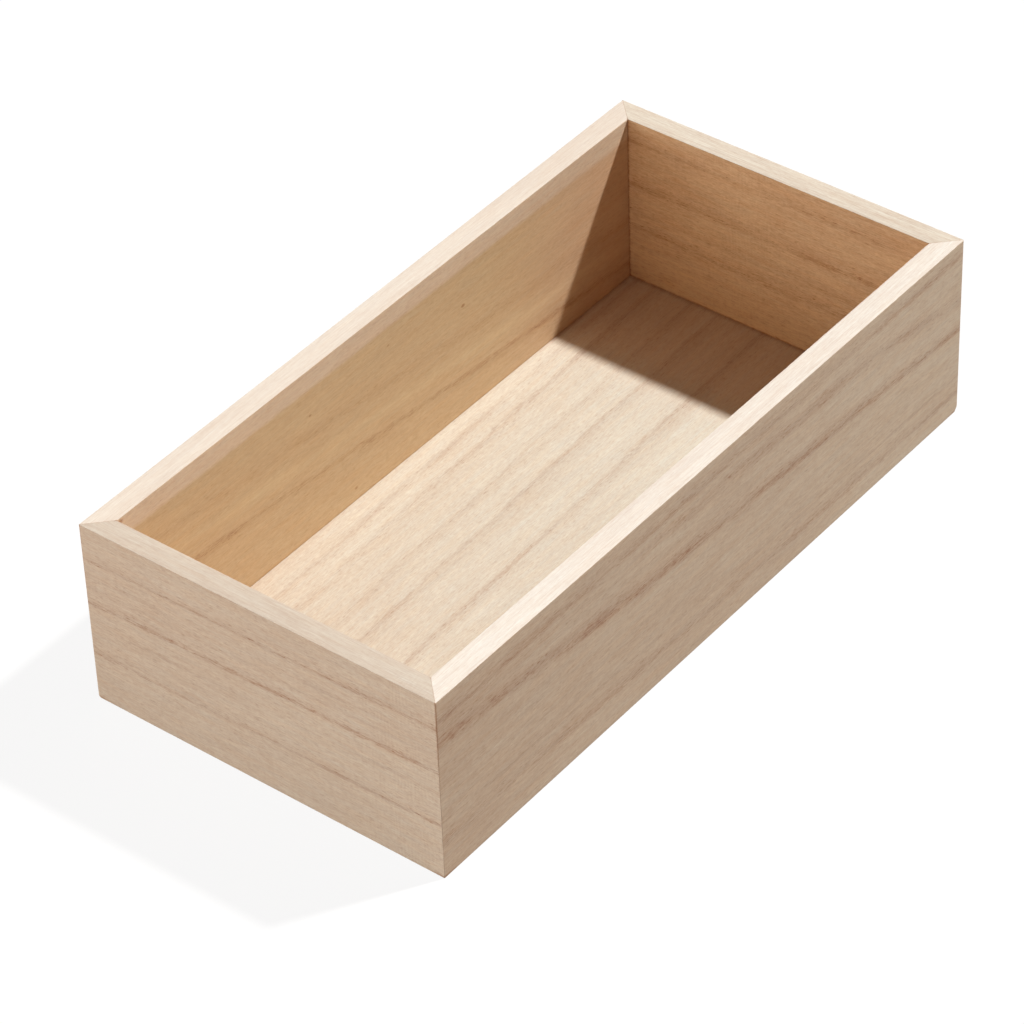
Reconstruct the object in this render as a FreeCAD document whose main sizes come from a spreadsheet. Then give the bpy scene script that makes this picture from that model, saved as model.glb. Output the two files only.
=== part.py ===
import FreeCAD, Part
import enum
import math
import os
import Sketcher

# An open-topped wooden box: four boards on edge, mitred at the corners, and a thin bottom panel
# let into a groove near the lower edge of each board. Millimetres, +Z up, +Y along the length.
# The origin is at the middle of the underside.

# Driving dimensions. Every board and the panel take their sizes from these cells.
DRIVING_DIMENSIONS = [
    ("boxLength", 300.0, "outside length, along Y"),
    ("boxWidth", 150.0, "outside width, along X"),
    ("boxHeight", 76.5, "height of the boards"),
    ("wallThickness", 9.0, "thickness of the boards"),
    ("rimEase", 0.5, "radius of the two arrises of the rim"),
    ("footEase", 1.0, "radius of the outer bottom arris"),
    ("cornerEase", 1.2, "radius of the upright arris at each mitre"),
    ("lipHeight", 2.0, "wood left below the groove"),
    ("grooveDepth", 4.0, "depth of the groove in the inside face"),
    ("panelThickness", 3.0, "thickness of the bottom panel"),
    ("panelPlay", 0.15, "room above the panel in the groove"),
    ("panelEdgeGap", 0.3, "room between the panel's edge and the bottom of the groove"),
]

# Each wall is drawn with its run along X and its outer face on Y = 0, then turned about Z into place:
# label, cell of its run, turn, and the direction and distance of its outer face from the middle.
WALLS = [
    ("front_wall", "boxWidth", "0 deg", "y", "-Sizes.boxLength / 2"),
    ("right_wall", "boxLength", "90 deg", "x", "Sizes.boxWidth / 2"),
    ("back_wall", "boxWidth", "180 deg", "y", "Sizes.boxLength / 2"),
    ("left_wall", "boxLength", "-90 deg", "x", "-Sizes.boxWidth / 2"),
]

UP = FreeCAD.Vector(0, 0, 1)


class At(enum.IntEnum):
    """The sketcher's numbers for the points of an element."""
    START = 1
    END = 2
    CENTRE = 3


class Axis(enum.IntEnum):
    """The sketcher's numbers for a sketch's own axes."""
    X = -1
    Y = -2


ORIGIN = (Axis.X, At.START)


def addSizes(doc):
    sheet = doc.addObject("Spreadsheet::Sheet", "Sizes")
    for row, (alias, value, meaning) in enumerate(DRIVING_DIMENSIONS, start=1):
        sheet.set(f"A{row}", meaning)
        sheet.set(f"B{row}", str(value))
        sheet.setAlias(f"B{row}", alias)
    doc.recompute()
    return sheet


def originPlane(body, role):
    return next(plane for plane in body.Origin.OriginFeatures if plane.Role == role)


def addSketch(body, name, role):
    sketch = body.newObject("Sketcher::SketchObject", name)
    sketch.AttachmentSupport = [(originPlane(body, role), "")]
    sketch.MapMode = "FlatFace"
    return sketch


def line(sketch, x0, y0, x1, y1):
    return sketch.addGeometry(Part.LineSegment(FreeCAD.Vector(x0, y0, 0), FreeCAD.Vector(x1, y1, 0)))


def arc(sketch, x, y, radius, startDegrees, endDegrees):
    circle = Part.Circle(FreeCAD.Vector(x, y, 0), UP, radius)
    start = math.radians(startDegrees)
    end = math.radians(endDegrees)
    return sketch.addGeometry(Part.ArcOfCircle(circle, start, end))


def constrain(sketch, *terms):
    return sketch.addConstraint(Sketcher.Constraint(*terms))


def dimension(sketch, name, formula, *terms):
    """Add a dimensional constraint and bind it to the sheet."""
    index = constrain(sketch, *terms)
    sketch.renameConstraint(index, name)
    sketch.setExpression(f"Constraints.{name}", formula)


def drawSection(sketch, size):
    """Section of a wall: outer face on the left, groove low on the inside, arrises eased."""
    t, top = size.wallThickness, size.boxHeight
    ease, foot = size.rimEase, size.footEase
    low = size.lipHeight
    high = low + size.panelThickness + size.panelPlay
    floor = t - size.grooveDepth

    outer = line(sketch, 0, foot, 0, top - ease)
    rim = line(sketch, ease, top, t - ease, top)
    inner = line(sketch, t, top - ease, t, high)
    grooveTop = line(sketch, t, high, floor, high)
    grooveFloor = line(sketch, floor, high, floor, low)
    grooveBottom = line(sketch, floor, low, t, low)
    lip = line(sketch, t, low, t, 0)
    underside = line(sketch, t, 0, foot, 0)
    rimOuter = arc(sketch, ease, top - ease, ease, 90, 180)
    rimInner = arc(sketch, t - ease, top - ease, ease, 0, 90)
    footArc = arc(sketch, foot, foot, foot, 180, 270)

    for upright in (outer, inner, grooveFloor, lip):
        constrain(sketch, "Vertical", upright)
    for level in (rim, grooveTop, grooveBottom, underside):
        constrain(sketch, "Horizontal", level)
    for first, second in ((inner, grooveTop), (grooveTop, grooveFloor), (grooveFloor, grooveBottom),
                          (grooveBottom, lip), (lip, underside)):
        constrain(sketch, "Coincident", first, At.END, second, At.START)
    constrain(sketch, "Tangent", outer, At.END, rimOuter, At.END)
    constrain(sketch, "Tangent", rimOuter, At.START, rim, At.START)
    constrain(sketch, "Tangent", rim, At.END, rimInner, At.END)
    constrain(sketch, "Tangent", rimInner, At.START, inner, At.START)
    constrain(sketch, "Tangent", underside, At.END, footArc, At.END)
    constrain(sketch, "Tangent", footArc, At.START, outer, At.START)
    constrain(sketch, "PointOnObject", outer, At.START, Axis.Y)
    constrain(sketch, "PointOnObject", underside, At.START, Axis.X)
    constrain(sketch, "PointOnObject", lip, At.END, inner)
    constrain(sketch, "Equal", rimInner, rimOuter)

    dimension(sketch, "rimRadius", "Sizes.rimEase", "Radius", rimOuter, ease)
    dimension(sketch, "footRadius", "Sizes.footEase", "Radius", footArc, foot)
    dimension(sketch, "thickness", "Sizes.wallThickness", "DistanceX", *ORIGIN, inner, At.END, t)
    dimension(sketch, "height", "Sizes.boxHeight", "DistanceY", *ORIGIN, rim, At.START, top)
    dimension(sketch, "lip", "Sizes.lipHeight", "DistanceY", *ORIGIN, lip, At.START, low)
    dimension(sketch, "grooveWidth", "Sizes.panelThickness + Sizes.panelPlay",
              "DistanceY", grooveFloor, At.END, grooveFloor, At.START, high - low)
    dimension(sketch, "grooveDepth", "Sizes.grooveDepth",
              "DistanceX", grooveBottom, At.START, grooveBottom, At.END, size.grooveDepth)


def drawMitreWaste(sketch, size, run, runCell):
    """Plan of the waste beyond one mitre: the mitre line, the eased corner and a loop outside the board,
    which clears the board by its thickness."""
    half, t, r = run / 2, size.wallThickness, size.cornerEase
    eased = r * (1 - 0.5 ** 0.5)

    mitre = line(sketch, half - 2 * t, 2 * t, half - eased, eased)
    corner = arc(sketch, half - r, r, r, -90, -45)
    down = line(sketch, half - r, 0, half - r, -t)
    along = line(sketch, half - r, -t, half + t, -t)
    up = line(sketch, half + t, -t, half + t, 2 * t)
    back = line(sketch, half + t, 2 * t, half - 2 * t, 2 * t)

    constrain(sketch, "Coincident", mitre, At.END, corner, At.END)
    constrain(sketch, "Coincident", corner, At.START, down, At.START)
    for first, second in ((down, along), (along, up), (up, back), (back, mitre)):
        constrain(sketch, "Coincident", first, At.END, second, At.START)
    for upright in (down, up):
        constrain(sketch, "Vertical", upright)
    for level in (along, back):
        constrain(sketch, "Horizontal", level)
    constrain(sketch, "Vertical", corner, At.START, corner, At.CENTRE)
    constrain(sketch, "PointOnObject", corner, At.CENTRE, mitre)
    constrain(sketch, "PointOnObject", corner, At.START, Axis.X)
    constrain(sketch, "Angle", mitre, math.radians(-45))

    dimension(sketch, "cornerRadius", "Sizes.cornerEase", "Radius", corner, r)
    dimension(sketch, "cornerPlace", f"Sizes.{runCell} / 2 - Sizes.cornerEase",
              "DistanceX", *ORIGIN, corner, At.CENTRE, half - r)
    dimension(sketch, "wasteBelow", "Sizes.wallThickness", "DistanceY", along, At.START, *ORIGIN, t)
    dimension(sketch, "wasteEnd", f"Sizes.{runCell} / 2 + Sizes.wallThickness",
              "DistanceX", *ORIGIN, up, At.START, half + t)
    dimension(sketch, "wasteAbove", "2 * Sizes.wallThickness", "DistanceY", *ORIGIN, up, At.END, 2 * t)


def addWall(doc, size, label, runCell, turn, axis, distance):
    """A board with its section run along X, both ends mitred, set at one side of the box."""
    body = doc.addObject("PartDesign::Body", label)
    body.Label = label

    section = addSketch(body, f"{label}_section", "YZ_Plane")
    drawSection(section, size)
    board = body.newObject("PartDesign::Pad", f"{label}_board")
    board.Profile = section
    board.SideType = "Symmetric"
    board.setExpression("Length", f"Sizes.{runCell}")
    section.Visibility = False
    doc.recompute()
    squareVolume = board.Shape.Volume

    waste = addSketch(body, f"{label}_mitre_waste", "XY_Plane")
    drawMitreWaste(waste, size, size.getPropertyByName(runCell), runCell)
    mitre = body.newObject("PartDesign::Pocket", f"{label}_mitre")
    mitre.Profile = waste
    mitre.Type = "ThroughAll"
    mitre.SideType = "Symmetric"
    waste.Visibility = False
    doc.recompute()
    oneMitreVolume = mitre.Shape.Volume

    otherMitre = body.newObject("PartDesign::Mirrored", f"{label}_other_mitre")
    otherMitre.Originals = [mitre]
    otherMitre.MirrorPlane = (originPlane(body, "YZ_Plane"), [""])
    body.Tip = otherMitre
    doc.recompute()
    if not squareVolume > oneMitreVolume > otherMitre.Shape.Volume:
        raise RuntimeError(f"{label}: a mitre cut nothing")

    body.setExpression("Placement.Rotation.Angle", turn)
    body.setExpression(f"Placement.Base.{axis}", distance)
    return body


def addBottomPanel(doc, size):
    """The floor board: it rests on the lower side of the groove all round."""
    body = doc.addObject("PartDesign::Body", "bottom_panel")
    body.Label = "bottom_panel"
    inset = size.wallThickness - size.grooveDepth + size.panelEdgeGap
    halfWidth = size.boxWidth / 2 - inset
    halfLength = size.boxLength / 2 - inset

    plan = addSketch(body, "bottom_panel_plan", "XY_Plane")
    front = line(plan, -halfWidth, -halfLength, halfWidth, -halfLength)
    right = line(plan, halfWidth, -halfLength, halfWidth, halfLength)
    back = line(plan, halfWidth, halfLength, -halfWidth, halfLength)
    left = line(plan, -halfWidth, halfLength, -halfWidth, -halfLength)
    for first, second in ((front, right), (right, back), (back, left), (left, front)):
        constrain(plan, "Coincident", first, At.END, second, At.START)
    for level in (front, back):
        constrain(plan, "Horizontal", level)
    for upright in (right, left):
        constrain(plan, "Vertical", upright)
    constrain(plan, "Symmetric", front, At.START, back, At.START, *ORIGIN)
    insideGroove = "2 * (Sizes.wallThickness - Sizes.grooveDepth + Sizes.panelEdgeGap)"
    dimension(plan, "panelWidth", f"Sizes.boxWidth - {insideGroove}",
              "DistanceX", front, At.START, front, At.END, 2 * halfWidth)
    dimension(plan, "panelLength", f"Sizes.boxLength - {insideGroove}",
              "DistanceY", right, At.START, right, At.END, 2 * halfLength)

    board = body.newObject("PartDesign::Pad", "bottom_panel_board")
    board.Profile = plan
    board.setExpression("Length", "Sizes.panelThickness")
    plan.Visibility = False
    body.Tip = board
    body.setExpression("Placement.Base.z", "Sizes.lipHeight")
    return body


def checkDocument(doc, bodies):
    """Stop before anything is written if a feature failed or a solid isn't whole."""
    for thing in doc.Objects:
        if "Invalid" in thing.State or "Error" in thing.State:
            raise RuntimeError(f"{thing.Label} failed: {thing.State}")
    for body in bodies:
        if body.Shape.isNull() or not body.Shape.isValid() or len(body.Shape.Solids) != 1:
            raise RuntimeError(f"{body.Label} is not one valid solid")


def main():
    doc = FreeCAD.newDocument("tea_ceremony_box")
    size = addSizes(doc)
    bodies = [addWall(doc, size, *wall) for wall in WALLS]
    bodies.append(addBottomPanel(doc, size))
    doc.recompute()
    checkDocument(doc, bodies)

    os.makedirs("parts", exist_ok=True)
    for body in bodies:
        body.Shape.exportStep(f"parts/{body.Label}.step")
        box = body.Shape.BoundBox
        print(f"{body.Label}: {body.Shape.Volume / 1000:.1f} cm3,"
              f" X {box.XMin:.2f}..{box.XMax:.2f}, Y {box.YMin:.2f}..{box.YMax:.2f},"
              f" Z {box.ZMin:.2f}..{box.ZMax:.2f}")


main()
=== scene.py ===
import math

import bpy
from mathutils import Matrix, Vector


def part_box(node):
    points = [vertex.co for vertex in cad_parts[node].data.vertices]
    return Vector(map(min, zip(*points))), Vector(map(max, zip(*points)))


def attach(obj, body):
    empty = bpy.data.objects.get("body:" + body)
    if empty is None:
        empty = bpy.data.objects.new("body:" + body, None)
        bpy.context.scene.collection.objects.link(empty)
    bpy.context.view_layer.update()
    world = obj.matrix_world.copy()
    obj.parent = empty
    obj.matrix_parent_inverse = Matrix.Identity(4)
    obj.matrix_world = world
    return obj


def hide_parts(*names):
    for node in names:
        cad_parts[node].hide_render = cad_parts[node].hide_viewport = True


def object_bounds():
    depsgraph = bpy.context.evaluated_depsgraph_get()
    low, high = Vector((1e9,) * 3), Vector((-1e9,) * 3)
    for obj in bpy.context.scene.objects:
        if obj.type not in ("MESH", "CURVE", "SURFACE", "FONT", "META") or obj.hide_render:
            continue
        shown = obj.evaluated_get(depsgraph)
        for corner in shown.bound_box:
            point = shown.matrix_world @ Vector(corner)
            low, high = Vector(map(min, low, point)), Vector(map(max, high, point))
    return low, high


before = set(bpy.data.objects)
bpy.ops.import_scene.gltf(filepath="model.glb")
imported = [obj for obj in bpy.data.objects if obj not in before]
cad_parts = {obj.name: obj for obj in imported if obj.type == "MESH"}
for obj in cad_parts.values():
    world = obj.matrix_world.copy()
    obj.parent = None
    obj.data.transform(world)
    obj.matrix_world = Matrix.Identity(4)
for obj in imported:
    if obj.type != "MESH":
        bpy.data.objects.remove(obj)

mm = 0.001
cadLow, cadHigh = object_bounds()
frontLow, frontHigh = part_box("front_wall")
panelLow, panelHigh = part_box("bottom_panel")
boxLength = cadHigh.y - cadLow.y
boxWidth = cadHigh.x - cadLow.x
boxHeight = cadHigh.z - cadLow.z
wallThickness = frontHigh.y - frontLow.y
print("frame:", [round(side / mm, 2) for side in (boxWidth, boxLength, boxHeight, wallThickness)], "mm")


class Wire:
    # one output of a node, which takes part in sums like a number
    def __init__(self, tree, socket):
        self.tree = tree
        self.socket = socket

    def __add__(self, other):
        return maths("ADD", self, other)

    def __sub__(self, other):
        return maths("SUBTRACT", self, other)

    def __rsub__(self, other):
        return maths("SUBTRACT", other, self)

    def __mul__(self, other):
        return maths("MULTIPLY", self, other)

    def __truediv__(self, other):
        return maths("DIVIDE", self, other)

    def __pow__(self, other):
        return maths("POWER", self, other)

    __radd__ = __add__
    __rmul__ = __mul__


def plug(tree, socket, value):
    if isinstance(value, Wire):
        tree.links.new(value.socket, socket)
    else:
        socket.default_value = value


def addNode(tree, kind, inputs=None, **settings):
    node = tree.nodes.new(kind)
    for name, value in settings.items():
        setattr(node, name, value)
    for name, value in (inputs or {}).items():
        plug(tree, node.inputs[name], value)
    return node


def output(tree, node, name=0):
    return Wire(tree, node.outputs[name])


def maths(operation, *values):
    tree = next(value.tree for value in values if isinstance(value, Wire))
    return output(tree, addNode(tree, "ShaderNodeMath", dict(enumerate(values)), operation=operation))


def unsigned(value):
    return maths("ABSOLUTE", value)


def ease(value, low, high, start=0.0, end=1.0):
    # goes smoothly from start to end while value goes from low to high
    node = addNode(value.tree, "ShaderNodeMapRange", interpolation_type="SMOOTHSTEP")
    names = ("Value", "From Min", "From Max", "To Min", "To Max")
    for name, item in zip(names, (value, low, high, start, end)):
        plug(value.tree, node.inputs[name], item)
    return output(value.tree, node)


def makeVector(tree, x, y, z):
    return output(tree, addNode(tree, "ShaderNodeCombineXYZ", {"X": x, "Y": y, "Z": z}))


def splitVector(wire):
    node = addNode(wire.tree, "ShaderNodeSeparateXYZ", {0: wire})
    return [output(wire.tree, node, axis) for axis in "XYZ"]


def noise(place, scale, shift=0.0, detail=2.0, roughness=0.5):
    # smooth noise about zero; scale is how many lumps there are to a millimetre along each axis
    tree = place.tree
    stretched = addNode(tree, "ShaderNodeVectorMath", {0: place, 1: scale}, operation="MULTIPLY")
    moved = addNode(tree, "ShaderNodeVectorMath", {0: output(tree, stretched), 1: shift}, operation="ADD") \
        if isinstance(shift, Wire) else stretched
    inputs = {"Vector": output(tree, moved), "Scale": 1.0, "Detail": detail, "Roughness": roughness}
    return output(tree, addNode(tree, "ShaderNodeTexNoise", inputs)) - 0.5


def mixColour(tree, share, first, second):
    node = addNode(tree, "ShaderNodeMix", {0: share, 6: first, 7: second}, data_type="RGBA")
    return output(tree, node, 2)


def newTree(name, kind, inputs, outputs):
    # a node group whose named inputs carry their usual values, and a wire from each input
    tree = bpy.data.node_groups.new(name, kind)
    kinds = {float: "NodeSocketFloat", int: "NodeSocketInt", tuple: "NodeSocketVector"}
    for label, value in inputs.items():
        if isinstance(value, str):
            tree.interface.new_socket(name=label, in_out="INPUT", socket_type=value)
        else:
            socket = tree.interface.new_socket(name=label, in_out="INPUT", socket_type=kinds[type(value)])
            socket.default_value = value
    for label, socketType in outputs.items():
        tree.interface.new_socket(name=label, in_out="OUTPUT", socket_type=socketType)
    entry = tree.nodes.new("NodeGroupInput")
    return tree, {label: output(tree, entry, label) for label in inputs}


def closeTree(tree, results):
    end = tree.nodes.new("NodeGroupOutput")
    for label, value in results.items():
        plug(tree, end.inputs[label], value)
    return tree


# The camera stands high in front of the box's front right corner.
cameraSettings = {
    "target": (0.00790, -0.02574, 0.038),
    "distance": 1.5582,
    "azimuth": 39.119,     # degrees from the front towards the right
    "elevation": 39.712,
    "roll": -2.213,
    "lens": 160.249,       # on a sensor 36 mm wide
}


def placeCamera(settings):
    azimuth = math.radians(settings["azimuth"])
    elevation = math.radians(settings["elevation"])
    away = Vector((math.sin(azimuth) * math.cos(elevation),
                   -math.cos(azimuth) * math.cos(elevation),
                   math.sin(elevation)))
    data = bpy.data.cameras.new("camera")
    data.lens = settings["lens"]
    data.sensor_width = 36
    data.clip_end = 20
    camera = bpy.data.objects.new("camera", data)
    bpy.context.collection.objects.link(camera)
    camera.location = Vector(settings["target"]) + away * settings["distance"]
    aim = (-away).to_track_quat("-Z", "Y").to_matrix()
    camera.rotation_euler = (aim @ Matrix.Rotation(math.radians(settings["roll"]), 3, "Z")).to_euler()
    bpy.context.scene.camera = camera


placeCamera(cameraSettings)
print("camera placed")

# The sun stands behind the box, a little to its right, and throws a crisp shadow inside it. Three soft lamps light
# the other faces: one in front, one at the left, and one below, which shines through the floor's opening.
lightSettings = {
    "sunPlace": (0.4, 1.0, 1.5),
    "sunTravel": (-0.42, -0.675, -1.0),
    "sunStrength": 4.0,
    "sunAngle": 3.0,              # degrees across, which softens the shadow's edge
    "sunColour": (1.0, 0.985, 0.96),
    "fillPlace": (-0.40, -1.35, 0.22),
    "fillAim": (0.0, 0.0, 0.03),
    "fillSize": (1.2, 0.5),
    "fillPower": 11.5,
    "softColour": (1.0, 0.985, 0.96),   # of the three soft lamps
    "sidePlace": (-1.45, 0.10, 0.28),
    "sidePower": 5.0,
    "underPlace": (0.0, -0.25, -1.2),
    "underPower": 7.0,
    "squareSize": 0.9,            # of the side lamp and the under lamp, which face the box's middle
    "worldStrength": 0.066,
    "worldColour": (1.24, 0.69, 0.51),
    "floorColour": (0.25, 0.247, 0.243),
    "floorWhiteness": 0.90,       # how much of the floor's look is plain white; the rest takes the shadow
    "floorHalf": 4.0,
    "openingInset": 1.5 * mm,     # the floor's opening ends this far inside the box's outline
}


def addLamp(name, kind, place, travel, colour, strength):
    data = bpy.data.lights.new(name, kind)
    data.color = colour
    data.energy = strength
    lamp = bpy.data.objects.new(name, data)
    bpy.context.collection.objects.link(lamp)
    lamp.location = place
    lamp.rotation_euler = Vector(travel).to_track_quat("-Z", "Y").to_euler()
    return data


def addLights(settings):
    sun = addLamp("sun", "SUN", settings["sunPlace"], settings["sunTravel"], settings["sunColour"],
                  settings["sunStrength"])
    sun.angle = math.radians(settings["sunAngle"])
    place = Vector(settings["fillPlace"])
    fill = addLamp("fill", "AREA", place, Vector(settings["fillAim"]) - place, settings["softColour"],
                   settings["fillPower"])
    fill.shape = "RECTANGLE"
    fill.size, fill.size_y = settings["fillSize"]
    for name in ("side", "under"):
        place = Vector(settings[name + "Place"])
        soft = addLamp(name, "AREA", place, -place, settings["softColour"], settings[name + "Power"])
        soft.size = settings["squareSize"]


def seenWhite(tree):
    # 1 for rays that show the background: from the camera, in a gloss or through glass
    path = addNode(tree, "ShaderNodeLightPath")
    seen = [output(tree, path, name) for name in ("Is Camera Ray", "Is Glossy Ray", "Is Transmission Ray")]
    return maths("MAXIMUM", maths("MAXIMUM", seen[0], seen[1]), seen[2])


def addWorld(settings):
    world = bpy.data.worlds.new("studio")
    bpy.context.scene.world = world
    world.use_nodes = True
    tree = world.node_tree
    tree.nodes.clear()
    lit = addNode(tree, "ShaderNodeBackground",
                  {"Color": (*settings["worldColour"], 1), "Strength": settings["worldStrength"]})
    white = addNode(tree, "ShaderNodeBackground", {"Color": (1, 1, 1, 1), "Strength": 1.0})
    mixed = addNode(tree, "ShaderNodeMixShader",
                    {0: seenWhite(tree), 1: output(tree, lit), 2: output(tree, white)})
    addNode(tree, "ShaderNodeOutputWorld", {"Surface": output(tree, mixed)})


def addFloor(settings):
    # four flat sides round the opening under the box
    half = settings["floorHalf"]
    openX = cadHigh.x - settings["openingInset"]
    openY = cadHigh.y - settings["openingInset"]
    outer = [(-half, -half, 0), (half, -half, 0), (half, half, 0), (-half, half, 0)]
    inner = [(-openX, -openY, 0), (openX, -openY, 0), (openX, openY, 0), (-openX, openY, 0)]
    sides = [(n, (n + 1) % 4, (n + 1) % 4 + 4, n + 4) for n in range(4)]
    mesh = bpy.data.meshes.new("studioFloor")
    mesh.from_pydata(outer + inner, [], sides)
    floor = bpy.data.objects.new("studioFloor", mesh)
    bpy.context.collection.objects.link(floor)

    material = bpy.data.materials.new("studioFloor")
    material.use_nodes = True
    tree = material.node_tree
    tree.nodes.clear()
    paper = addNode(tree, "ShaderNodeBsdfDiffuse", {"Color": (*settings["floorColour"], 1)})
    seenPaper = addNode(tree, "ShaderNodeBsdfDiffuse", {"Color": (1, 1, 1, 1)})
    glow = addNode(tree, "ShaderNodeEmission", {"Color": (1, 1, 1, 1), "Strength": 1.0})
    seen = seenWhite(tree)
    softened = addNode(tree, "ShaderNodeMixShader",
                       {0: settings["floorWhiteness"], 1: output(tree, seenPaper), 2: output(tree, glow)})
    whole = addNode(tree, "ShaderNodeMixShader",
                    {0: seen, 1: output(tree, paper), 2: output(tree, softened)})
    behind = output(tree, addNode(tree, "ShaderNodeNewGeometry"), "Backfacing")
    clear = addNode(tree, "ShaderNodeBsdfTransparent")
    oneWay = addNode(tree, "ShaderNodeMixShader",
                     {0: behind, 1: output(tree, whole), 2: output(tree, clear)})
    addNode(tree, "ShaderNodeOutputMaterial", {"Surface": output(tree, oneWay)})
    mesh.materials.append(material)


addLights(lightSettings)
addWorld(lightSettings)
addFloor(lightSettings)
bpy.context.scene.view_settings.view_transform = "Standard"
print("lights, world and floor made")


# Wood is solid grain: each board reads it at its own run, depth from the outer face and height, in millimetres.
def growthRings():
    # distance from the heart of the tree that a board was cut from
    tree, given = newTree("growthRings", "ShaderNodeTree", {
        "Place": (0.0, 0.0, 0.0),
        "Heart Depth": 0.0,
        "Heart Height": 0.0,
        "Depth Slope": 0.0,      # how far the heart moves for each millimetre of run
        "Height Slope": 0.0,
        "Wander": 1.0,
        "Seed": 0.0,
    }, {"Radius": "NodeSocketFloat"})
    run, depth, height = splitVector(given["Place"])
    depthAway = depth - given["Heart Depth"] - run * given["Depth Slope"]
    heightAway = height - given["Heart Height"] - run * given["Height Slope"]
    radius = (depthAway ** 2 + heightAway ** 2) ** 0.5
    slow = noise(given["Place"], (0.016, 0.03, 0.03), given["Seed"]) * 3.2
    quick = noise(given["Place"], (0.11, 0.12, 0.12), given["Seed"]) * 0.7
    return closeTree(tree, {"Radius": radius + (slow + quick) * given["Wander"]})


def ringLine():
    # one year's line: a band of dark dashes that run with the grain, and a soft shade fading away on one side
    tree, given = newTree("ringLine", "ShaderNodeTree", {
        "Radius": 0.0,
        "Place": (0.0, 0.0, 0.0),
        "Ring": 0.0,
        "Width": 0.8,            # half the band's width, straight out from the heart
        "Fade": 5.0,             # how far the shade reaches; below zero it lies on the other side
        "Seed": 0.0,
    }, {"Line": "NodeSocketFloat", "Shade": "NodeSocketFloat"})
    run, depth, height = splitVector(given["Place"])
    seed = given["Seed"] + given["Ring"] * 1.7
    weave = noise(given["Place"], (0.06, 0.12, 0.12), seed, 3.0, 0.6) * given["Width"]
    beyond = given["Radius"] - given["Ring"] + weave
    core = ease(unsigned(beyond) / given["Width"], 1.1, 0.1)
    alongGrain = makeVector(tree, run, beyond * 0.3, depth + height)
    dashes = noise(alongGrain, (0.20, 2.3, 2.3), seed, 3.0, 0.7)
    fainter = noise(given["Place"], (0.035, 0.03, 0.03), seed + 3.0, 2.0)
    line = ease(dashes * 1.5 + core * 0.16 + fainter * 0.55, 0.07, 0.27) * ease(core, 0.0, 0.45)
    inside = beyond * maths("SIGN", given["Fade"])
    reach = unsigned(given["Fade"])
    shade = ease(inside / reach, -1.0, 0.0) * ease(inside / given["Width"], 1.6, -0.6)
    uneven = noise(alongGrain, (0.03, 0.25, 0.25), seed + 6.0, 3.0)
    return closeTree(tree, {"Line": line, "Shade": shade * (0.9 + fainter + uneven * 1.5)})


def woodFibre():
    # everything that runs through the whole board: streaks, pores, clouds of tone and the plane's ripples
    tree, given = newTree("woodFibre", "ShaderNodeTree", {
        "Place": (0.0, 0.0, 0.0),
        "Chatter Run": 0.0,      # where the plane's ripples show most
        "Chatter Reach": 30.0,
        "Chatter Depth": 1.0,
        "Seed": 0.0,
    }, {
        "Streaks": "NodeSocketFloat",
        "Bands": "NodeSocketFloat",
        "Clouds": "NodeSocketFloat",
        "Pores": "NodeSocketFloat",
        "Threads": "NodeSocketFloat",
        "Ripple": "NodeSocketFloat",
        "Warmth": "NodeSocketFloat",
    })
    place = given["Place"]
    seed = given["Seed"]
    run = splitVector(place)[0]
    streaks = noise(place, (0.30, 2.5, 2.5), seed, 3.0, 0.75)
    bands = noise(place, (0.05, 0.5, 0.5), seed + 2.0, 3.0, 0.55)
    clouds = noise(place, (0.011, 0.09, 0.09), seed + 4.0, 2.0)
    pores = ease(noise(place, (0.36, 2.7, 2.7), seed + 9.0, 2.0, 0.7), 0.02, 0.28)
    threads = noise(place, (0.05, 2.0, 2.0), seed + 1.0, 3.0, 0.75)
    ripple = noise(place, (0.85, 0.42, 0.42), seed + 5.0, 2.0, 0.6)
    wave = maths("SINE", run * 4.4 + noise(place, (0.2, 0.12, 0.12), seed, 3.0, 0.6) * 14.0)
    patch = ease(unsigned(run - given["Chatter Run"]) / given["Chatter Reach"], 1.0, 0.1) * given["Chatter Depth"]
    chatter = wave * patch * ease(noise(place, (0.1, 0.16, 0.16), seed + 7.0, 2.0), -0.12, 0.15) * 0.28
    warmth = noise(place, (0.06, 0.5, 0.5), seed + 6.0, 3.0, 0.6)
    return closeTree(tree, {"Streaks": streaks, "Bands": bands, "Clouds": clouds, "Pores": pores,
                            "Threads": threads, "Ripple": ripple + chatter, "Warmth": warmth})


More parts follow.
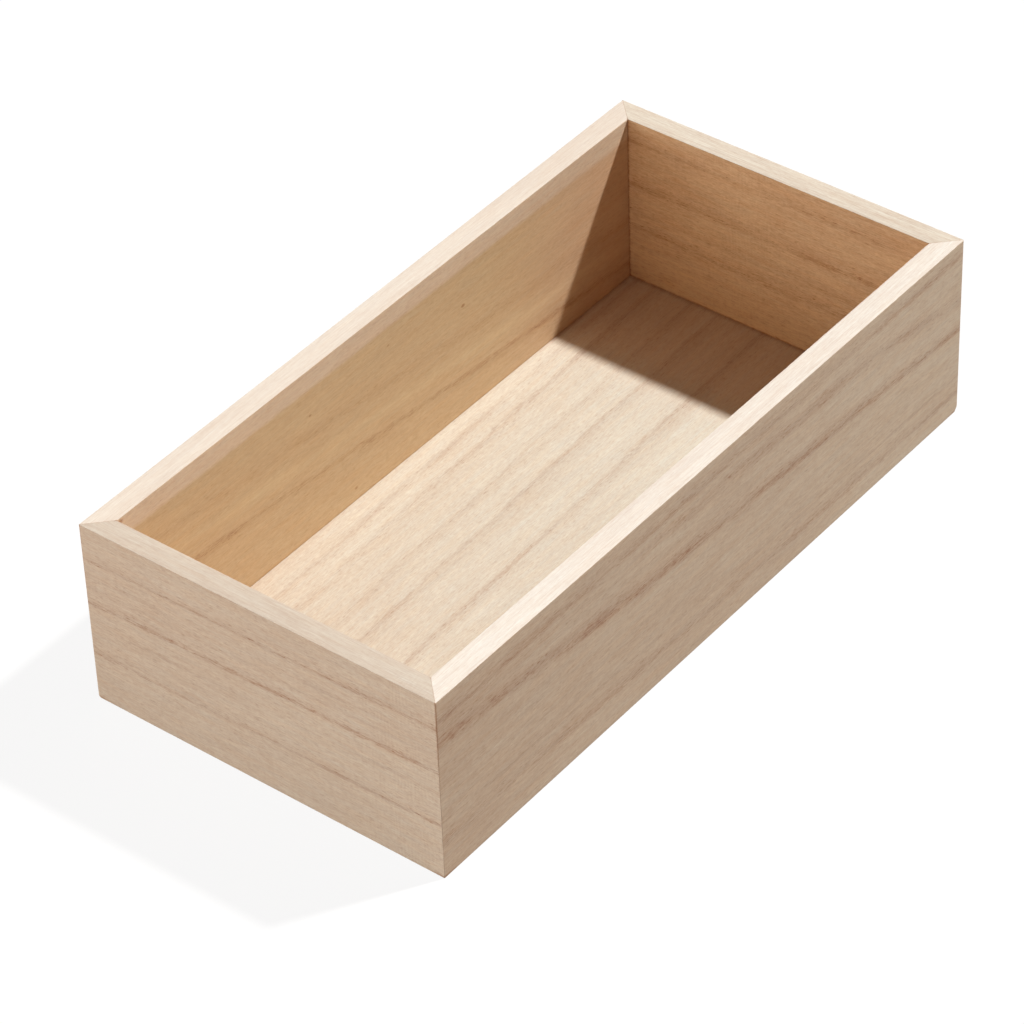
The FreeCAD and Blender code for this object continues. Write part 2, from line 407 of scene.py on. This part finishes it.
def boardEdges():
    # masks for the places where a board meets air or its neighbour; the distances in them are in millimetres
    tree, given = newTree("boardEdges", "ShaderNodeTree", {
        "Place": (0.0, 0.0, 0.0),
        "Half Run": 150.0,
        "Thickness": 9.0,
        "Top": 76.5,
        "Panel Top": 5.0,
        "Pale Band": 0.0,        # depth below the rim of a paler band inside
        "Seed": 0.0,
    }, {
        "Rim": "NodeSocketFloat",
        "Inside": "NodeSocketFloat",
        "Joint": "NodeSocketFloat",
        "Upright": "NodeSocketFloat",
        "Foot": "NodeSocketFloat",
        "Seam": "NodeSocketFloat",
    })
    run, depth, height = splitVector(given["Place"])
    uneven = noise(given["Place"], (0.5, 0.6, 0.6), given["Seed"], 3.0, 0.6)
    below = given["Top"] - height
    rim = ease(below, 0.16, 0.05)
    inside = ease(depth, given["Thickness"] - 1.5, given["Thickness"] - 0.3) \
        * ease(below - given["Pale Band"] + uneven, -1.0, 1.5)
    fromEnd = given["Half Run"] - unsigned(run)
    fromMitre = fromEnd - maths("MAXIMUM", depth, 0.35)
    jointWidth = ease(depth, given["Thickness"] - 1.0, given["Thickness"] - 0.2, 0.20, 0.75)
    joint = ease(fromMitre / jointWidth, 1.0, 0.15) * ease(uneven, -0.25, 0.12, 0.25, 1.0) * ease(depth, 0.3, 1.0)
    upright = ease(fromEnd + uneven * 0.5, 0.7, 0.2) * ease(depth, 1.1, 0.3) \
        * ease(uneven + (height - given["Top"]) * 0.012, -0.55, -0.1)
    foot = ease(height + uneven, 1.6, 0.4) * ease(depth, 1.0, 0.2) * ease(uneven, -0.2, 0.1, 0.35, 1.0) \
        * ease(fromEnd + uneven * 4.0, 9.0, 1.0, 0.12, 1.0)
    # the seam: a dark joint line where the wall meets the panel, with painted shade in that crease
    seam = ease(height - given["Panel Top"] + uneven, 1.2, 0.1) * ease(depth, 8.0, 8.6)
    return closeTree(tree, {"Rim": rim, "Inside": inside, "Joint": joint, "Upright": upright, "Foot": foot,
                            "Seam": seam})


def pinKnot():
    # a twig's mark, right through the board
    tree, given = newTree("pinKnot", "ShaderNodeTree", {
        "Place": (0.0, 0.0, 0.0),
        "Knot Run": 0.0,
        "Knot Height": 0.0,
        "Knot Size": 0.8,
        "Least Depth": -1.0,     # over zero it keeps the mark off the outer face
    }, {"Knot": "NodeSocketFloat"})
    run, depth, height = splitVector(given["Place"])
    away = ((run - given["Knot Run"]) ** 2 * 0.45 + (height - given["Knot Height"]) ** 2) ** 0.5
    knot = ease(away / given["Knot Size"], 1.0, 0.3) * ease(depth - given["Least Depth"], 0.0, 0.4)
    return closeTree(tree, {"Knot": knot})


groups = {make.__name__: make() for make in (growthRings, ringLine, woodFibre, boardEdges, pinKnot)}


def useGroup(tree, name, inputs):
    return addNode(tree, "ShaderNodeGroup", inputs, node_tree=groups[name])


# What makes each board's wood its own. Lengths are in millimetres.
# A ring is (distance from the heart, half width, line strength, shade strength, shade reach).
# A streak is a straight line: (depth below the rim at mid run, slope, half width, line strength, shade strength,
# shade reach, from run, to run).
# A knot is (run, height, size, strength, least depth).
# A painted far shade is (run where it starts, run where it is full, tint of the inside beyond): painted shade and
# painted bounced light in the far corner, where the back wall's shadow falls, and an empty list leaves it out.
# A tone is what 100 mm of run, depth and height add to the dark share: partly the wood's own slow change, partly
# painted light and shade that make a board lighter or darker towards one side.
# The inner wood colour is deeper and warmer than the outer: partly painted bounced light inside the box.
# The rim wood colour is paler than the outer: a painted highlight of the sunlit rim.
boardLooks = {
    "front_wall": {
        "turn": 0, "seed": 3.1, "grain": 1.1, "cloud": 0.7, "tone": (-0.045, 0.0, 0.12),
        "wood": (0.704, 0.538, 0.399), "innerWoodAndBounce": (0.675, 0.452, 0.253), "rimWoodAndHighlight": (0.61, 0.52, 0.425),
        "heartDepth": 30.0, "heartHeight": 196.0, "depthSlope": 0.0, "heightSlope": 0.02, "wander": 0.7,
        "rings": [(136.0, 0.9, 1.25, 1.0, 5), (142.7, 1.2, 0.4, 0.3, 4), (147.6, 1.2, 0.4, 0.3, 4),
                  (154.2, 1.3, 1.25, 0.9, 6), (163.3, 1.0, 0.4, 0.2, 4), (176.6, 1.1, 1.1, 0.8, 6)],
        "streaks": [], "knots": [], "paintedFarShade": [], "seamShadeShare": 1.0,
        "paleBand": -3.0, "chatterRun": 60.0, "chatterReach": 30.0, "chatterDepth": 1.0,
    },
    "right_wall": {
        "turn": 90, "seed": 7.4, "grain": 1.0, "cloud": 1.1, "tone": (-0.067, 0.0, 0.0),
        "wood": (0.649, 0.492, 0.354), "innerWoodAndBounce": (0.675, 0.452, 0.253), "rimWoodAndHighlight": (0.814, 0.745, 0.661),
        "heartDepth": 20.5, "heartHeight": 66.5, "depthSlope": -0.0633, "heightSlope": 0.0, "wander": 0.8,
        "rings": [(51.5, 0.8, 0.6, 0.2, 4), (58.5, 2.0, 0.75, 0.9, 6)],
        "streaks": [(7.6, -0.009, 1.7, 0.9, 0.9, 5, -160, 160), (14.9, 0.023, 2.6, 0.1, 1.8, 5, -40, 85),
                    (3.4, 0.15, 2.6, 0.2, 1.7, 5, 90, 175), (12.0, 0.0, 4.0, 0.0, 0.6, 9, -200, -60),
                    (33.2, 0.102, 3.0, 1.0, 2.1, 7, -200, -38), (31.1, 0.054, 2.0, 1.1, 1.75, 6, -38, 200)],
        "knots": [], "paintedFarShade": [], "seamShadeShare": 1.0,
        "paleBand": -3.0, "chatterRun": -60.0, "chatterReach": 60.0, "chatterDepth": 0.15,
    },
    "back_wall": {
        "turn": 180, "seed": 11.9, "grain": 1.4, "cloud": 0.9, "tone": (0.0, 0.0, 0.34),
        "wood": (0.71, 0.509, 0.361), "innerWoodAndBounce": (0.745, 0.485, 0.275), "rimWoodAndHighlight": (0.684, 0.602, 0.498),
        "heartDepth": -25.0, "heartHeight": 180.0, "depthSlope": 0.0, "heightSlope": 0.0, "wander": 0.8,
        "rings": [(117.5, 1.3, 0.9, 0.8, 5), (136.5, 1.6, 1.1, 1.2, 6), (148.0, 1.5, 0.6, 0.5, 5),
                  (155.5, 1.7, 1.0, 1.0, 6)],
        "streaks": [], "knots": [], "paintedFarShade": [], "seamShadeShare": 1.0,
        "paleBand": -3.0, "chatterRun": 20.0, "chatterReach": 50.0, "chatterDepth": 0.5,
    },
    "left_wall": {
        "turn": -90, "seed": 15.2, "grain": 0.8, "cloud": 0.8, "tone": (0.0, 0.0, -0.17),
        "wood": (0.675, 0.516, 0.372), "innerWoodAndBounce": (0.594, 0.42, 0.243), "rimWoodAndHighlight": (0.76, 0.671, 0.574),
        "heartDepth": -20.0, "heartHeight": 131.0, "depthSlope": 0.0, "heightSlope": 0.1, "wander": 1.0,
        "rings": [(109.5, 1.6, 0.9, 0.9, -5), (101.5, 2.5, 0.0, -1.0, 5), (92.0, 2.0, 0.3, 0.6, 6)],
        "streaks": [],
        "knots": [(-42.0, 52.1, 1.0, 0.65, -1), (43.0, 57.1, 0.7, 0.5, -1), (0.0, 60.5, 0.6, 0.35, -1),
                  (21.6, 10.5, 0.8, 0.45, -1), (139.8, 74.8, 1.4, 0.55, 8.3)],
        "paintedFarShade": [(-50, -132, (1.045, 0.98, 1.05))], "seamShadeShare": 0.25,
        "paleBand": 8.0, "chatterRun": -80.0, "chatterReach": 70.0, "chatterDepth": 0.3,
    },
    "bottom_panel": {
        "turn": 90, "seed": 21.6, "grain": 0.95, "cloud": 1.0, "tone": (-0.06, 0.06, 0.0),
        "wood": (0.68, 0.555, 0.42), "innerWoodAndBounce": (0.644, 0.572, 0.473), "rimWoodAndHighlight": (0.644, 0.572, 0.473),
        "heartDepth": 190.0, "heartHeight": -20.0, "depthSlope": 0.036, "heightSlope": 0.0, "wander": 0.7,
        "rings": [(67.6, 1.6, 0.4, 0.8, -5), (75.6, 1.4, 0.65, 0.95, -6), (91.1, 1.1, 0.5, 0.8, -6),
                  (103.2, 1.4, 0.6, 0.8, -5), (122.4, 1.4, 0.6, 0.95, -6)],
        "streaks": [], "knots": [],
        "paintedFarShade": [(84, 108, (1.12, 0.98, 0.92)), (98, 132, (0.90, 0.88, 0.86))], "seamShadeShare": 1.0,
        "paleBand": -3.0, "chatterRun": 0.0, "chatterReach": 140.0, "chatterDepth": 0.25,
    },
}
# What all boards share.
woodSettings = {
    "grainTint": (0.52, 0.81, 0.97),     # how much of the wood's red, green and blue full grain takes away
    "lineTint": (0.54, 0.82, 0.94),      # how much a full year line takes away
    "warmTint": (0.45, -0.10, -0.75),    # what a warmer spot adds to them
    "lineDepth": 0.27,
    "shadeDepth": 0.13,
    "streakDepth": 0.82,
    "bandDepth": 0.33,
    "cloudDepth": 0.28,
    "poreDepth": 0.34,
    "poreLevel": 0.25,                   # taken off the pores, so that they don't darken a whole board
    "threadDepth": 0.24,
    "rippleDepth": 0.17,
    "warmthDepth": 0.20,
    "rimCalm": 0.6,                      # how much fainter the year lines are on the rim
    "rimCool": 0.5,                      # and the warmer spots
    "rimShare": {"streak": 0.65, "band": 0.8, "pore": 0.3, "thread": 2.5, "ripple": 0.5},   # of each on the rim
    "jointDepth": 0.55,
    "uprightDepth": 0.45,
    "footDepth": 0.70,
    # the seams are dark joint lines with painted shade in the creases where the walls meet the panel
    "seamDepth": 0.62,
    "panelSeamShadeDepth": 0.30,
    "panelSeamShadeWidth": 2.2,               # millimetres from the walls
    "panelSeamShadeFront": 0.3,               # its share towards the front
    "panelSeamShadeRuns": (80, 100),          # the runs between which it grows to full
    "shareRange": (-0.22, 0.9),
    "streakFade": 20,                    # millimetres over which a streak fades out, either side of its end
    "earlyCrowd": 0.9,                   # how much the pores and threads deepen beside a year line
    "earlyLimit": 1.3,
    "panelSkin": (1.0, 0.4),             # millimetres below its top where its upper colour starts and fills
    "roughness": 0.62,
    "streakRoughness": 0.18,
    "specular": 0.32,
    "bumpDistance": 0.03 * mm,
    "bumpRipple": 0.4,                   # of the fibre's own height
    "bumpPores": 0.2,
}


def boardPlace(tree, turn, half):
    # a board's run, depth and height
    coordinates = output(tree, addNode(tree, "ShaderNodeTexCoord"), "Object")
    return output(tree, addNode(tree, "ShaderNodeMapping", {
        "Vector": coordinates,
        "Scale": (1 / mm, 1 / mm, 1 / mm),
        "Rotation": (0, 0, -math.radians(turn)),
        "Location": (0, half / mm, 0),
    }, vector_type="POINT"))


def yearLines(tree, look, place):
    # how dark the year lines and their shades are, and how near a place is to one
    rings = useGroup(tree, "growthRings", {
        "Place": place,
        "Heart Depth": look["heartDepth"],
        "Heart Height": look["heartHeight"],
        "Depth Slope": look["depthSlope"],
        "Height Slope": look["heightSlope"],
        "Wander": look["wander"],
        "Seed": look["seed"],
    })
    radius = output(tree, rings)
    run, _, height = splitVector(place)
    below = boxHeight / mm - height
    marks = [(radius, *ring, None, None) for ring in look["rings"]]
    marks += [(below - run * slope, level, *rest) for level, slope, *rest in look["streaks"]]
    fade = woodSettings["streakFade"]
    lines = 0
    early = 0.0
    for field, ring, width, lineStrength, shadeStrength, reach, first, last in marks:
        line = useGroup(tree, "ringLine", {
            "Radius": field,
            "Place": place,
            "Ring": ring,
            "Width": width,
            "Fade": float(reach),
            "Seed": look["seed"],
        })
        dark = output(tree, line, "Line") * lineStrength
        soft = output(tree, line, "Shade") * shadeStrength
        if first is not None:
            reached = ease(run, first - fade, first + fade) * ease(run, last + fade, last - fade)
            dark = dark * reached
            soft = soft * reached
        lines = lines + dark * woodSettings["lineDepth"] + soft * woodSettings["shadeDepth"]
        early = soft + early
    return lines, maths("MINIMUM", early, woodSettings["earlyLimit"])


def fibreMarks(tree, look, fibre, rim, early):
    # how dark the fibre is, and how dark its pores are
    crowd = 1 + early * woodSettings["earlyCrowd"]
    grain = 0
    for name, label in (("streak", "Streaks"), ("band", "Bands"), ("thread", "Threads"), ("ripple", "Ripple")):
        depthHere = woodSettings[name + "Depth"] * look["grain"]
        onRim = 1 + rim * (woodSettings["rimShare"][name] - 1)
        fibreHere = output(tree, fibre, label) * onRim * depthHere
        grain = grain + (fibreHere * crowd if name == "thread" else fibreHere)
    onRim = 1 + rim * (woodSettings["rimShare"]["pore"] - 1)
    pores = (output(tree, fibre, "Pores") * crowd - woodSettings["poreLevel"]) * onRim
    return grain, pores * (woodSettings["poreDepth"] * look["grain"])


def boardToneAndShade(look, place, middle):
    # the slow change of tone from one side of a board to the other: partly the wood's own, partly painted light
    # and shade
    perRun, perDepth, perHeight = [amount / 100 for amount in look["tone"]]
    run, depth, height = splitVector(place)
    return run * perRun + (depth - middle[0]) * perDepth + (height - middle[1]) * perHeight


def panelSeamShade(place, half):
    # the panel's darkening beside the walls: a dark joint line and painted shade in the crease, full at the back,
    # where the wall's shadow falls, and weaker towards the front
    run, depth, _ = splitVector(place)
    inner = wallThickness / mm
    fromWalls = maths("MINIMUM", boxLength / 2 / mm - inner - unsigned(run),
                      boxWidth / 2 / mm - inner - unsigned(depth - half / mm))
    beside = ease(fromWalls, woodSettings["panelSeamShadeWidth"], 0.0)
    growth = ease(run, *woodSettings["panelSeamShadeRuns"], woodSettings["panelSeamShadeFront"], 1.0)
    return beside * growth * woodSettings["panelSeamShadeDepth"]


def woodMaterial(node, look, half):
    # the board's plain wood, dimmed and tinted by its grain, its year lines, its warmer spots and painted light
    # and shade
    isWall = node != "bottom_panel"
    runs = boxLength if abs(look["turn"]) == 90 else boxWidth
    top = panelHigh.z / mm
    material = bpy.data.materials.new(node + "Wood")
    material.use_nodes = True
    tree = material.node_tree
    tree.nodes.clear()
    shader = addNode(tree, "ShaderNodeBsdfPrincipled", {"Specular IOR Level": woodSettings["specular"]})
    addNode(tree, "ShaderNodeOutputMaterial", {"Surface": output(tree, shader)})

    place = boardPlace(tree, look["turn"], half)
    run, _, height = splitVector(place)
    fibre = useGroup(tree, "woodFibre", {
        "Place": place,
        "Chatter Run": look["chatterRun"],
        "Chatter Reach": look["chatterReach"],
        "Chatter Depth": look["chatterDepth"],
        "Seed": look["seed"],
    })
    edges = useGroup(tree, "boardEdges", {
        "Place": place,
        "Half Run": runs / 2 / mm,
        "Thickness": wallThickness / mm,
        "Top": boxHeight / mm,
        "Panel Top": top,
        "Pale Band": look["paleBand"],
        "Seed": look["seed"],
    })
    rim = output(tree, edges, "Rim")
    skinStart, skinFull = woodSettings["panelSkin"]
    inside = output(tree, edges, "Inside") if isWall else ease(height, top - skinStart, top - skinFull)

    # the dark share of the grain and of the board's edges, with painted shade from the tone slopes and the seams
    lines, early = yearLines(tree, look, place)
    grain, pores = fibreMarks(tree, look, fibre, rim, early)
    lines = lines * (1 - rim * woodSettings["rimCalm"]) + pores
    middle = (wallThickness / mm / 2, boxHeight / mm / 2) if isWall else (half / mm, top)
    clouds = output(tree, fibre, "Clouds") * (woodSettings["cloudDepth"] * look["cloud"])
    share = grain + clouds + boardToneAndShade(look, place, middle) * (1 - rim)
    for knotRun, knotHeight, across, strength, leastDepth in look["knots"]:
        knot = useGroup(tree, "pinKnot", {
            "Place": place,
            "Knot Run": knotRun,
            "Knot Height": knotHeight,
            "Knot Size": across,
            "Least Depth": float(leastDepth),
        })
        share = share + output(tree, knot) * strength
    if isWall:
        for name, part in (("Joint", 1.0), ("Upright", 1.0), ("Foot", 1.0), ("Seam", look["seamShadeShare"])):
            share = share + output(tree, edges, name) * (woodSettings[name.lower() + "Depth"] * part)
    else:
        share = share + panelSeamShade(place, half) * look["seamShadeShare"]
    least, most = woodSettings["shareRange"]
    share = maths("MINIMUM", maths("MAXIMUM", share, least), most)

    # the plain wood and its tint
    # the inside colour is deeper and warmer: partly painted bounced light inside the box
    sides = mixColour(tree, inside, (*look["wood"], 1), (*look["innerWoodAndBounce"], 1))
    # the rim's paler colour is a painted highlight of the sunlit rim
    wood = mixColour(tree, rim, sides, (*look["rimWoodAndHighlight"], 1))
    warmth = output(tree, fibre, "Warmth") * woodSettings["warmthDepth"] * (1 - rim * woodSettings["rimCool"])
    losses = zip(woodSettings["grainTint"], woodSettings["lineTint"], woodSettings["warmTint"])
    tint = [(1 - share * grainLess) * (1 - lines * lineLess) * (1 + warmth * more)
            for grainLess, lineLess, more in losses]
    # painted shade and painted bounced light in the far corner, where the back wall's shadow falls
    for starts, full, paintedShadeTint in look["paintedFarShade"]:
        inPaintedShade = ease(run, starts, full) * inside * (1 - rim)
        tint = [part * (1 + inPaintedShade * (far - 1)) for part, far in zip(tint, paintedShadeTint)]
    tinted = addNode(tree, "ShaderNodeVectorMath", {0: wood, 1: makeVector(tree, *tint)}, operation="MULTIPLY")
    plug(tree, shader.inputs["Base Color"], output(tree, tinted))

    # fibres stand up a little and shine a little less evenly
    streaks = output(tree, fibre, "Streaks")
    plug(tree, shader.inputs["Roughness"], woodSettings["roughness"] + streaks * woodSettings["streakRoughness"])
    grainHeight = output(tree, fibre, "Ripple") * woodSettings["bumpRipple"] - streaks \
        - output(tree, fibre, "Pores") * woodSettings["bumpPores"]
    bump = addNode(tree, "ShaderNodeBump",
                   {"Height": grainHeight, "Distance": woodSettings["bumpDistance"], "Strength": 1.0})
    plug(tree, shader.inputs["Normal"], output(tree, bump))
    return material


# The four walls and the panel are boards: a section swept along a run, mitred at its ends where it is a wall.
boardShape = {
    "rimEase": 0.2 * mm,       # arrises of the rim
    "footEase": 0.4 * mm,      # outer bottom arris
    "lowerEase": 0.3 * mm,     # the other arrises
    "panelPlay": 0.15 * mm,    # room above the panel in the groove
    "panelEdgeGap": 0.3 * mm,  # room beyond the panel's edge
    "mitreGap": 0.005 * mm,    # each board stands this far back from the mitre
    "faceStep": 3.0 * mm,      # spacing of the points round a section
    "rowStep": 0.6 * mm,       # mean spacing of the sections along a run
    "endCrowding": 1.6,        # over 1 brings the sections closer together near the ends
    "arcSteps": 5,             # straight pieces in a quarter circle
    "nickSize": 0.05 * mm,     # how ragged the rim's arrises are
    "nickStart": 1.6 * mm,     # depth below the rim where the nicks start
    "nickFull": 0.2 * mm,      # and where they are full
    "waveSize": 0.05 * mm,     # how far a face leaves its plane
    "wearReach": 4.0,          # how far round a bottom corner its wear goes, in its own sizes
}


def betweenPoints(start, end, step):
    # points that part a straight stretch into lengths of about a step, and shorter ones near its ends
    length = (end - start).length
    count = max(1, round(length / step))
    places = [n / count for n in range(1, count)]
    if length > step * 3:
        for near in (0.2 * step / length, 0.55 * step / length):
            places += [near, 1 - near]
    return [start.lerp(end, place) for place in sorted(places)]


def outline(corners, step, arcSteps):
    # points round a closed section from (across, up, radius) corners, anticlockwise
    turns = [math.radians(90 / arcSteps * n) for n in range(arcSteps + 1)]
    points = []
    for index, (x, y, radius) in enumerate(corners):
        corner = Vector((x, y))
        before = (Vector(corners[index - 1][:2]) - corner).normalized()
        after = (Vector(corners[(index + 1) % len(corners)][:2]) - corner).normalized()
        stretch = [corner]
        if radius > 0:
            centre = corner + (before + after) * radius
            stretch = [centre - after * radius * math.cos(turn) - before * radius * math.sin(turn)
                       for turn in turns]
        if points:
            points += betweenPoints(points[-1], stretch[0], step)
        points += stretch
    return points + betweenPoints(points[-1], points[0], step)


def wallSection(shape):
    # outer face at 0, inner face at the wall's thickness, with the groove for the panel
    grooveFloor = panelLow.x - cadLow.x - shape["panelEdgeGap"]
    grooveTop = panelHigh.z + shape["panelPlay"]
    return outline([
        (0, 0, shape["footEase"]),
        (wallThickness, 0, shape["lowerEase"]),
        (wallThickness, panelLow.z, 0),
        (grooveFloor, panelLow.z, 0),
        (grooveFloor, grooveTop, 0),
        (wallThickness, grooveTop, 0),
        (wallThickness, boxHeight, shape["rimEase"]),
        (0, boxHeight, shape["rimEase"]),
    ], shape["faceStep"], shape["arcSteps"])


def panelSection(shape):
    width = panelHigh.x - panelLow.x
    corners = [(0, panelLow.z), (width, panelLow.z), (width, panelHigh.z), (0, panelHigh.z)]
    return outline([(x, y, shape["lowerEase"]) for x, y in corners], shape["faceStep"], shape["arcSteps"])


def boardTree(shape):
    tree, given = newTree("mitredBoard", "GeometryNodeTree", {
        "Section": "NodeSocketGeometry",
        "Run": 0.3,
        "Half Width": 0.15,
        "Turn": 0.0,
        "Rows": 300,
        "Mitre": 1.0,              # 1 for a wall, 0 for a board cut off square
        "Mitre Gap": shape["mitreGap"],
        "End Crowding": shape["endCrowding"],
        "Ease Start": 0.0,         # radius of the upright arris at each end
        "Ease End": 0.0,
        "Wear Start": 0.0,         # how far the bottom corner at each end is worn back
        "Wear End": 0.0,
        "Wear Reach": shape["wearReach"],
        "Top": boxHeight,
        "Thickness": wallThickness,
        "Nick Size": shape["nickSize"],
        "Nick Start": shape["nickStart"],
        "Nick Full": shape["nickFull"],
        "Wave Size": shape["waveSize"],
        "Seed": 0.0,
        "Finish": "NodeSocketMaterial",
    }, {"Board": "NodeSocketGeometry"})
    tree.is_modifier = True
    mitre = given["Mitre"]

    profile = addNode(tree, "GeometryNodeMeshToCurve", {"Mesh": given["Section"]})
    line = addNode(tree, "GeometryNodeCurvePrimitiveLine", {"Start": (0, 0, -1), "End": (0, 0, 1)})
    rows = addNode(tree, "GeometryNodeResampleCurve", {"Curve": output(tree, line), "Count": given["Rows"]})
    sweep = addNode(tree, "GeometryNodeCurveToMesh", {
        "Curve": output(tree, rows), "Profile Curve": output(tree, profile), "Fill Caps": True})
    across, up, share = splitVector(output(tree, addNode(tree, "GeometryNodeInputPosition")))

    # the ends follow the mitre, and the sections crowd towards them
    cornerEase = ease(share, -0.5, 0.5, given["Ease Start"], given["Ease End"])
    atMitre = cornerEase * (1 - 0.5 ** 0.5)
    halfRun = given["Run"] / 2 - (maths("MAXIMUM", across, atMitre) + given["Mitre Gap"]) * mitre
    along = halfRun * (1 - (1 - unsigned(share)) ** given["End Crowding"])
    side = maths("SIGN", share)

    # the outer face bends in over the last of the run, which eases the upright arris
    intoEase = maths("MAXIMUM", along + cornerEase - given["Run"] / 2, 0.0)
    left = maths("MAXIMUM", cornerEase ** 2 - intoEase ** 2, 0.0)
    bend = (cornerEase - left ** 0.5) * mitre
    inward = maths("MAXIMUM", across, bend)

    # the bottom corners are worn back along the mitre's own plane
    fromCorner = ((given["Run"] / 2 - along) ** 2 + across ** 2 + up ** 2) ** 0.5
    cornerWear = ease(share, -0.5, 0.5, given["Wear Start"], given["Wear End"])
    nearCorner = maths("MAXIMUM", 1 - fromCorner / (cornerWear * given["Wear Reach"]), 0.0)
    worn = nearCorner ** 2 * cornerWear * mitre

    # nicks along the rim's arrises, and faces that aren't quite flat, always into the wood
    spot = makeVector(tree, along * side / mm + given["Seed"] * 37, across / mm, up / mm)
    nearRim = ease(given["Top"] - up, given["Nick Start"], given["Nick Full"])
    fromCentre = unsigned(across / given["Thickness"] - 0.5)
    nearArris = ease(fromCentre, 0.4, 0.5)
    nick = maths("MAXIMUM", noise(spot, (0.55, 0.3, 0.3), 0.0, 3.0, 0.6) + 0.06, 0.0)
    cut = nick * nearRim * nearArris * given["Nick Size"] * 4 * mitre
    wave = (noise(spot, (0.018, 0.06, 0.06)) + 0.5) * given["Wave Size"] * mitre
    towardsMiddle = maths("SIGN", 0.5 - across / given["Thickness"])
    isFace = ease(fromCentre, 0.38, 0.48)
    inward = inward + worn + (wave * isFace + cut) * towardsMiddle

    flat = makeVector(tree, (along - worn) * side, inward - given["Half Width"], up + worn - cut)
    turned = addNode(tree, "ShaderNodeVectorRotate", {"Vector": flat, "Angle": given["Turn"]},
                     rotation_type="Z_AXIS")
    shaped = addNode(tree, "GeometryNodeSetPosition",
                     {"Geometry": output(tree, sweep), "Position": output(tree, turned)})
    whole = addNode(tree, "GeometryNodeRealizeInstances", {"Geometry": output(tree, shaped)})
    finished = addNode(tree, "GeometryNodeSetMaterial",
                       {"Geometry": output(tree, whole), "Material": given["Finish"]})
    return closeTree(tree, {"Board": output(tree, finished)})


def makeBoard(node, section, tree, values):
    # sweeps a section into a finished board, as a plain mesh that stands for the CAD node
    outlineMesh = bpy.data.meshes.new(node + "Section")
    count = len(section)
    outlineMesh.from_pydata([(x, y, 0) for x, y in section], [(n, (n + 1) % count) for n in range(count)], [])
    board = bpy.data.objects.new(node + "Board", outlineMesh)
    bpy.context.collection.objects.link(board)
    modifier = board.modifiers.new("mitredBoard", "NODES")
    modifier.node_group = tree
    sockets = {item.name: item.identifier for item in tree.interface.items_tree if item.in_out == "INPUT"}
    for name, value in values.items():
        modifier[sockets[name]] = value
    evaluated = board.evaluated_get(bpy.context.evaluated_depsgraph_get())
    mesh = bpy.data.meshes.new_from_object(evaluated)
    board.modifiers.clear()
    board.data = mesh
    mesh.name = node + "Board"
    bpy.data.meshes.remove(outlineMesh)
    mesh.shade_smooth()
    mesh.set_sharp_from_angle(angle=math.radians(35))
    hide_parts(node)
    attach(board, "root")
    print("board:", node, len(mesh.vertices), "points")


# how far each bottom corner is worn back, and the radius of the upright arris above it
cornerShapes = {
    "frontLeft": (0.30 * mm, 0.35 * mm),
    "frontRight": (0.10 * mm, 0.22 * mm),
    "backRight": (0.55 * mm, 0.55 * mm),
    "backLeft": (0.35 * mm, 0.45 * mm),
}
boardCorners = {
    "front_wall": ("frontLeft", "frontRight"),
    "right_wall": ("frontRight", "backRight"),
    "back_wall": ("backRight", "backLeft"),
    "left_wall": ("backLeft", "frontLeft"),
    "bottom_panel": ("frontLeft", "frontLeft"),    # without effect, as the panel has no mitres
}


def makeBoards(shape, looks):
    tree = boardTree(shape)
    wall = wallSection(shape)
    panel = panelSection(shape)
    for node, look in looks.items():
        isWall = node != "bottom_panel"
        lengthways = abs(look["turn"]) == 90
        if isWall:
            run = boxLength if lengthways else boxWidth
            half = (boxWidth if lengthways else boxLength) / 2
        else:
            run = panelHigh.y - panelLow.y
            half = panelHigh.x
        start, end = boardCorners[node]
        makeBoard(node, wall if isWall else panel, tree, {
            "Run": run,
            "Half Width": half,
            "Turn": math.radians(look["turn"]),
            "Rows": round(run / shape["rowStep"]),
            "Mitre": 1.0 if isWall else 0.0,
            "Wear Start": cornerShapes[start][0],
            "Wear End": cornerShapes[end][0],
            "Ease Start": cornerShapes[start][1],
            "Ease End": cornerShapes[end][1],
            "Seed": look["seed"],
            "Finish": woodMaterial(node, look, half),
        })


makeBoards(boardShape, boardLooks)
